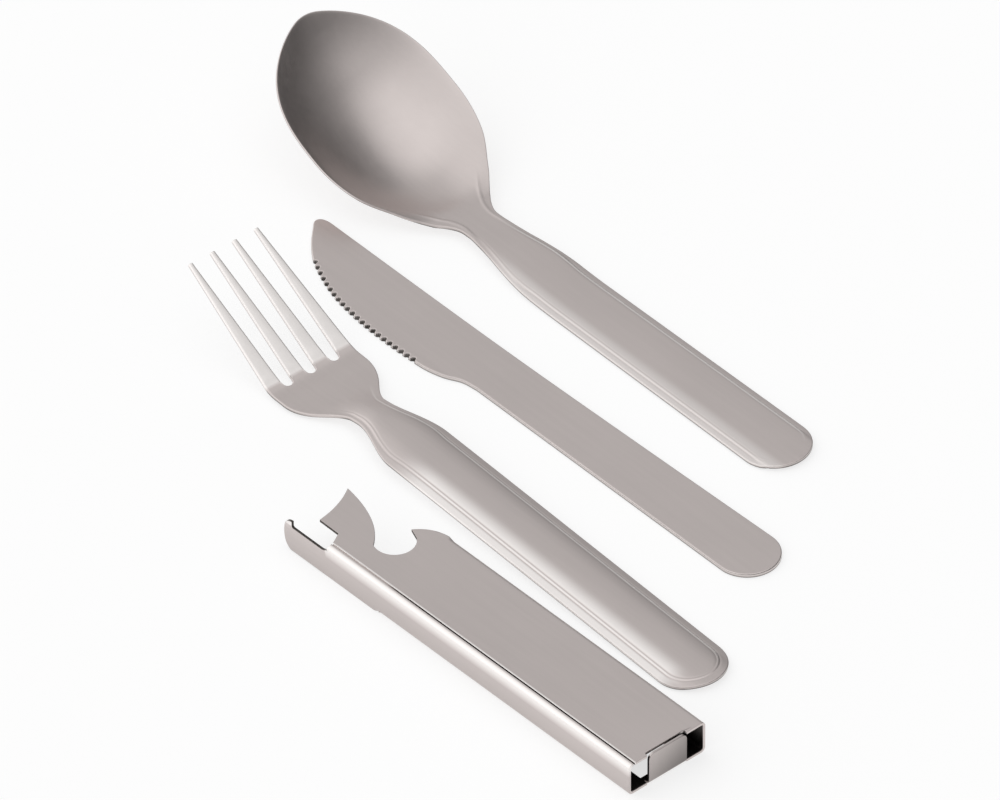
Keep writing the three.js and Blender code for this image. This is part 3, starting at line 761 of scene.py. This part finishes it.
def paint_cut_edges_dark(obj):
    """Paints dark shade on the sheet's cut edges around the opener."""
    mask = obj.data.attributes.new("painted_dark", "FLOAT", "FACE")
    values = np.zeros(len(obj.data.polygons), np.float32)
    for i, face in enumerate(obj.data.polygons):
        n, (x, y, z) = face.normal, face.center / MM
        on_top = y > CASE["channel"] + 4 and x > CASE["seam_x"] + 0.2 and abs(n.z) < 0.75
        on_wall = y > CASE["flange"] and x < CASE["seam_x"] and abs(n.x) < 0.75
        # 1 where a cut edge gets painted dark shade.
        values[i] = float(on_top or on_wall)
    mask.data.foreach_set("value", values)


# ---------------------------------------------------------------- materials

# The painted highlights and painted shade below are fixed to the object. They were placed so that the render
# has the photograph's highlights and shades. Which of them are the steel's own finish isn't known.

STEEL = (0.62, 0.562, 0.545)
# Colour of the painted highlights.
PAINTED_HIGHLIGHT_COLOUR = (0.95, 0.91, 0.89)
# Colour of the painted shade.
PAINTED_SHADE_COLOUR = (0.13, 0.12, 0.115)
# Darkest and lightest of the painted dark shade in the knife's scallops and on the case's cut edges.
PAINTED_DARK_SHADES = ((0.05, 0.045, 0.04), (0.22, 0.2, 0.19))
PAINT_NECK_FADE = (104, 14)  # painted highlights and shade along a handle run out here
PAINT_END_FADE = (4, 8)  # and start here
# Painted shade along the lower edge of a sheet's rim.
EDGE_SHADE = {"level": -2.4, "lean": 0.3, "over": 0.8, "width": 0.4}


def steel(name, color, roughness, grain, grain_depth, mottle):
    """Brushed steel: fine grain along the pieces, soft mottling, painted highlights and painted shade from
    one point attribute, and darker painted shade, rougher, in the knife's scallops and on the case's cut
    edges.
    """
    material = bpy.data.materials.new(name)
    material.use_nodes = True
    nodes, links = material.node_tree.nodes, material.node_tree.links
    shader = nodes["Principled BSDF"]
    shader.inputs["Metallic"].default_value = 1.0
    place = nodes.new("ShaderNodeTexCoord")

    def noise(scale, stretch, detail, rough=0.55):
        mapping = nodes.new("ShaderNodeMapping")
        mapping.inputs["Scale"].default_value = stretch
        links.new(place.outputs["Object"], mapping.inputs["Vector"])
        texture = nodes.new("ShaderNodeTexNoise")
        texture.inputs["Scale"].default_value = scale
        texture.inputs["Detail"].default_value = detail
        texture.inputs["Roughness"].default_value = rough
        links.new(mapping.outputs["Vector"], texture.inputs["Vector"])
        return texture.outputs["Fac"]

    def ranged(value, low, high, new_low=0.0, new_high=1.0):
        node = nodes.new("ShaderNodeMapRange")
        node.inputs["From Min"].default_value = low
        node.inputs["From Max"].default_value = high
        node.inputs["To Min"].default_value = new_low
        node.inputs["To Max"].default_value = new_high
        links.new(value, node.inputs["Value"])
        return node.outputs["Result"]

    def summed(a, b):
        node = nodes.new("ShaderNodeMath")
        links.new(a, node.inputs[0])
        links.new(b, node.inputs[1])
        return node.outputs["Value"]

    def blended(factor, a, b):
        node = nodes.new("ShaderNodeMix")
        node.data_type = "RGBA"
        links.new(factor, node.inputs["Factor"])
        for value, socket in ((a, node.inputs["A"]), (b, node.inputs["B"])):
            if isinstance(value, tuple):
                socket.default_value = (*value, 1)
            else:
                links.new(value, socket)
        return node.outputs["Result"]

    brushing = noise(grain, (1.0, 0.03, 1.0), 3.0)
    patches = noise(38.0, (1.0, 0.6, 1.0), 2.0)
    smudges = noise(170.0, (1.0, 1.0, 1.0), 4.0, 0.6)
    # Attributes that carry the painted dark shade and the painted highlights and shade.
    painted_dark, bright = nodes.new("ShaderNodeAttribute"), nodes.new("ShaderNodeAttribute")
    painted_dark.attribute_name, bright.attribute_name = "painted_dark", "paint_light"

    shade = summed(ranged(patches, 0.3, 0.7, 0, 0.55), ranged(brushing, 0.3, 0.7, 0, 0.45))
    light = tuple(min(1, c * (1 + mottle)) for c in color)
    dark = tuple(c * (1 - mottle) for c in color)
    # Painted highlight where the light attribute is above 0, painted shade where it is below.
    tinted = blended(bright.outputs["Fac"], blended(shade, dark, light), PAINTED_HIGHLIGHT_COLOUR)
    tinted = blended(ranged(bright.outputs["Fac"], 0, -1), tinted, PAINTED_SHADE_COLOUR)
    # Painted dark shade in the knife's scallops and on the case's cut edges, varied by smudges.
    dark_shade = blended(ranged(smudges, 0.3, 0.7), *PAINTED_DARK_SHADES)
    links.new(blended(painted_dark.outputs["Fac"], tinted, dark_shade), shader.inputs["Base Color"])

    smudged = ranged(smudges, 0.35, 0.7, roughness - 0.02, roughness + 0.02)
    rough = summed(smudged, ranged(brushing, 0.3, 0.7, -0.02, 0.02))
    links.new(summed(rough, ranged(painted_dark.outputs["Fac"], 0, 1, 0, 0.3)), shader.inputs["Roughness"])

    bump = nodes.new("ShaderNodeBump")
    bump.inputs["Strength"].default_value = grain_depth
    bump.inputs["Distance"].default_value = 0.00001
    links.new(brushing, bump.inputs["Height"])
    links.new(bump.outputs["Normal"], shader.inputs["Normal"])
    return material


def paint_light(obj, level, panel=None):
    """Paints highlights and shade into the colour at every point, from -1, painted shade, to 1, painted
    highlight. The level takes x, y and z in mm.
    """
    apply_modifiers(obj)
    points = np.empty(len(obj.data.vertices) * 3, np.float32)
    obj.data.vertices.foreach_get("co", points)
    x, y, z = points.reshape(-1, 3).T / MM
    # Painted highlights and shade, plus painted shade along the lower edge of the rim.
    value = level(x, y, z) + painted_edge_shade(obj)
    if panel:
        inside = rim_distance(obj) - panel_rim(panel, y)
        # Painted highlight beside a panel's step and painted shade in its grooves.
        value += panel_painted_lines(x, y, inside, PANEL[panel]["groove_shade"]) * panel_fade(panel, y)
    mask = obj.data.attributes.new("paint_light", "FLOAT", "POINT")
    mask.data.foreach_set("value", np.clip(value, -1, 1).astype(np.float32))


def rim_distance(obj):
    distance = np.empty(len(obj.data.vertices), np.float32)
    obj.data.attributes["rim_mm"].data.foreach_get("value", distance)
    return distance


def painted_edge_shade(obj):
    """Painted shade along the lower edge of a thickened sheet's rim."""
    if "rim_mm" not in obj.data.attributes:
        return np.zeros(len(obj.data.vertices))
    normals = np.empty(len(obj.data.vertices) * 3, np.float32)
    obj.data.vertex_normals.foreach_get("vector", normals)
    facing_down = smooth(-normals[2::3] / EDGE_SHADE["lean"])
    return EDGE_SHADE["level"] * facing_down * smooth((EDGE_SHADE["over"] - rim_distance(obj)) / EDGE_SHADE["width"])


def panel_painted_lines(x, y, inside, groove_shade):
    """A painted highlight along the step on a panel's +X side and painted shade in the grooves on its -X
    side.
    """
    e = PANEL_PAINTED_LINES
    step = np.exp(-(((inside - e["step"]) / e["step_width"]) ** 2)) * smooth(x / 3)
    grooves = sum(np.exp(-(((inside - at) / e["groove_width"]) ** 2)) for at in GROOVES) * smooth(-x / 3)
    return (step - groove_shade * grooves * (1 - eased(y, *PAINT_NECK_FADE))) * eased(y, *PAINT_END_FADE)


def finish_piece(obj, node, material):
    obj.name = node + "_piece"
    obj.data.materials.clear()
    obj.data.materials.append(material)
    set_down(obj, node)
    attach(obj, node)
    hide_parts(node)
    weighted = obj.modifiers.new("normals", "WEIGHTED_NORMAL")
    weighted.weight = 80
    weighted.keep_sharp = True


cutlery_steel = steel("cutlery_steel", STEEL, roughness=0.325, grain=900.0, grain_depth=0.3, mottle=0.035)
knife_steel = steel("knife_steel", STEEL, roughness=0.34, grain=700.0, grain_depth=0.4, mottle=0.035)
case_steel = steel("case_steel", STEEL, roughness=0.34, grain=800.0, grain_depth=0.4, mottle=0.035)


def spoon_light_paint(x, y, z):
    """A painted highlight on the handle's -X side."""
    return 0.5 * smooth((-x - 3.5) / 3) * (1 - eased(y, *PAINT_NECK_FADE))


def fork_light_paint(x, y, z):
    """Painted highlights on the tines and on the handle's -X side."""
    side = smooth((-x - 2) / 4.5) * (1 - eased(y, *PAINT_NECK_FADE)) * eased(y, *PAINT_END_FADE)
    return np.maximum(eased(y, HEAD["root_y"], 1.2), 0.9 * side)


def knife_light_paint(x, y, z):
    """A painted highlight round the upper edge of the blank's sides and painted shade round the lower one."""
    return 0.9 * smooth((KNIFE_THICKNESS - 0.15 - z) / 0.3) - 1.7 * smooth((0.5 - z) / 0.3)


def case_light_paint(x, y, z):
    """Painted highlights on the fold beside the seam and on the seam's edge, painted shade on the left wall
    and the tab, and the deepest painted shade inside. The inside's tone is a guess beyond what the openings
    show."""
    half, height = CASE["width"] / 2, CASE["height"]
    # Painted highlight on the fold beside the seam.
    fold = 0.9 * smooth((CASE["bend"] - half - x) / 0.7) * smooth((z - 8) / 0.5)
    # Inside the case, the deepest painted shade.
    inside = (np.abs(x) < half - 0.6) & (z > 0.6) & (z < height - 0.6) & (y > 0.6) & (y < CASE["channel"])
    # Painted shade on the tab, darker toward +X and toward its foot.
    lower = (x / TAB["half"] + 1) / 4 + (1 - z / height) / 2
    tab = -(0.25 + 0.6 * smooth(lower)) * ((y < 0.5) & (np.abs(x) < TAB["half"]) & (z > 1))
    # Painted shade on the left wall, darker toward its foot.
    wall = -0.22 * (1 - z / height) * ((x < 0.3 - half) & (z < 8.8))
    # Painted highlight along the seam's edge.
    seam = 0.9 * ((np.abs(x - CASE["seam_x"] - 0.15) < 0.25) & (z > height - 0.5) & (y < CASE["flange"]))
    return np.where(inside, -1.0, fold + tab + wall + seam)


# Each piece gets painted highlights and painted shade in its colour.
spoon = make_spoon()
thicken(spoon, SHEET, 0.18, 3, bowl_gauge(spoon))
paint_light(spoon, spoon_light_paint, "spoon")
finish_piece(spoon, "spoon", cutlery_steel)

fork = make_fork()
thicken(fork, SHEET, 0.24, 3)
paint_light(fork, fork_light_paint, "fork")
finish_piece(fork, "fork", cutlery_steel)

knife = make_knife()
paint_light(knife, knife_light_paint)
finish_piece(knife, "knife", knife_steel)

case = make_case()
paint_light(case, case_light_paint)
finish_piece(case, "case", case_steel)

# ---------------------------------------------------------------- studio

VIEW_AZIMUTH = -42.0  # the camera looks this way round from +Y
VIEW_ELEVATION = 40.35
LENS = 1000.0
SENSOR = 36.0
VIEW_WIDTH = 0.2589  # width of the picture at the aim
AIM = Vector((0.00635, 0.00696, 0.0))

azimuth, elevation = math.radians(VIEW_AZIMUTH), math.radians(VIEW_ELEVATION)
right = Vector((math.cos(azimuth), math.sin(azimuth), 0))
ahead = Vector((-math.sin(azimuth), math.cos(azimuth), 0))
look = ahead * math.cos(elevation) - Vector((0, 0, math.sin(elevation)))

camera_data = bpy.data.cameras.new("camera")
camera_data.lens = LENS
camera_data.sensor_width = SENSOR
camera_data.clip_end = 100
camera = bpy.data.objects.new("camera", camera_data)
camera.location = AIM - look * (VIEW_WIDTH * LENS / SENSOR)
camera.rotation_mode = "QUATERNION"
camera.rotation_quaternion = look.to_track_quat("-Z", "Y")
bpy.context.scene.collection.objects.link(camera)
bpy.context.scene.camera = camera

FLOOR_SIZE = 6.0
FLOOR_GAP = 0.0001  # the floor lies this far under the set
FLOOR_GREY = 0.35
FLOOR_GLOW = 0.7  # the floor is partly self-lit, so that it is as pale as the photograph's ground
PEAK = 1.5  # the brightest level in the studio
corners = [Vector((x, y, 0)) * (FLOOR_SIZE / 2) for x, y in ((-1, -1), (1, -1), (1, 1), (-1, 1))]
floor = mesh_object("floor", corners, [(0, 1, 2, 3)])
floor.location.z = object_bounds()[0].z - FLOOR_GAP
floor_material = bpy.data.materials.new("floor")
floor_material.use_nodes = True
floor_shader = floor_material.node_tree.nodes["Principled BSDF"]
floor_shader.inputs["Base Color"].default_value = (FLOOR_GREY, FLOOR_GREY, FLOOR_GREY, 1)
floor_shader.inputs["Emission Color"].default_value = (1, 1, 1, 1)
floor_shader.inputs["Emission Strength"].default_value = FLOOR_GLOW
floor_shader.inputs["Roughness"].default_value = 0.9
floor_shader.inputs["Specular IOR Level"].default_value = 0.0
floor.data.materials.append(floor_material)


# Brightness of the studio against the sine of the height above the horizon, looking each way.
BEHIND = [(0, 0.6), (0.35, 0.64), (0.65, 0.69), (0.78, 0.73), (0.87, 0.85), (0.94, 1.0), (1, 1.2)]
LEFT = [(0, 1.1), (0.3, 1.25), (0.5, 1.25), (0.75, 1.0), (0.88, 1.0), (1, 1.2)]
NEAR = [(0, 0.12), (0.25, 0.2), (0.45, 0.38), (0.65, 0.5), (0.75, 0.62), (0.85, 0.8), (0.93, 1.2), (1, 1.2)]
ON_RIGHT = [(0, 0.02), (0.2, 0.04), (0.35, 0.14), (0.65, 0.32), (0.75, 0.45), (0.83, 0.85), (1, 1.2)]


def make_world():
    """A soft studio: bright overhead and on the left, grey behind the set, and dark low down on the right.
    Its levels were fitted to the reflections that the photograph shows in the steel."""
    world = bpy.data.worlds.new("studio")
    bpy.context.scene.world = world
    world.use_nodes = True
    nodes, links = world.node_tree.nodes, world.node_tree.links
    background = nodes["Background"]
    direction = nodes.new("ShaderNodeTexCoord").outputs["Generated"]

    def along(axis):
        node = nodes.new("ShaderNodeVectorMath")
        node.operation = "DOT_PRODUCT"
        node.inputs[1].default_value = axis
        links.new(direction, node.inputs[0])
        return node.outputs["Value"]

    def graph(value, stops):
        """A smooth curve through (value, level) stops."""
        spread = nodes.new("ShaderNodeMapRange")
        spread.inputs["From Min"].default_value = stops[0][0]
        spread.inputs["From Max"].default_value = stops[-1][0]
        links.new(value, spread.inputs["Value"])
        node = nodes.new("ShaderNodeValToRGB")
        elements = node.color_ramp.elements
        while len(elements) < len(stops):
            elements.new(0.5)
        reach = stops[-1][0] - stops[0][0]
        for element, (at, level) in zip(elements, stops):
            element.position = (at - stops[0][0]) / reach
            element.color = (level / PEAK, level / PEAK, level / PEAK, 1)
        links.new(spread.outputs["Result"], node.inputs["Fac"])
        return node.outputs["Color"]

    def mixed(factor, a, b):
        node = nodes.new("ShaderNodeMix")
        node.data_type = "RGBA"
        links.new(factor, node.inputs["Factor"])
        links.new(a, node.inputs["A"])
        links.new(b, node.inputs["B"])
        return node.outputs["Result"]

    def step(value, low, high):
        node = nodes.new("ShaderNodeMapRange")
        node.interpolation_type = "SMOOTHSTEP"
        node.inputs["From Min"].default_value = low
        node.inputs["From Max"].default_value = high
        links.new(value, node.inputs["Value"])
        return node.outputs["Result"]

    up = along((0, 0, 1))
    behind, left, near, on_right = [graph(up, stops) for stops in (BEHIND, LEFT, NEAR, ON_RIGHT)]
    across, away = along(tuple(right)), along(tuple(ahead))
    far_half = mixed(step(across, -0.02, 0.55), behind, on_right)
    near_half = mixed(step(across, 0.3, 1.0), near, on_right)
    around = mixed(step(away, 0.05, -0.35), far_half, near_half)
    links.new(mixed(step(across, -0.15, -0.45), around, left), background.inputs["Color"])
    background.inputs["Strength"].default_value = PEAK


make_world()

bpy.context.scene.view_settings.view_transform = "Standard"
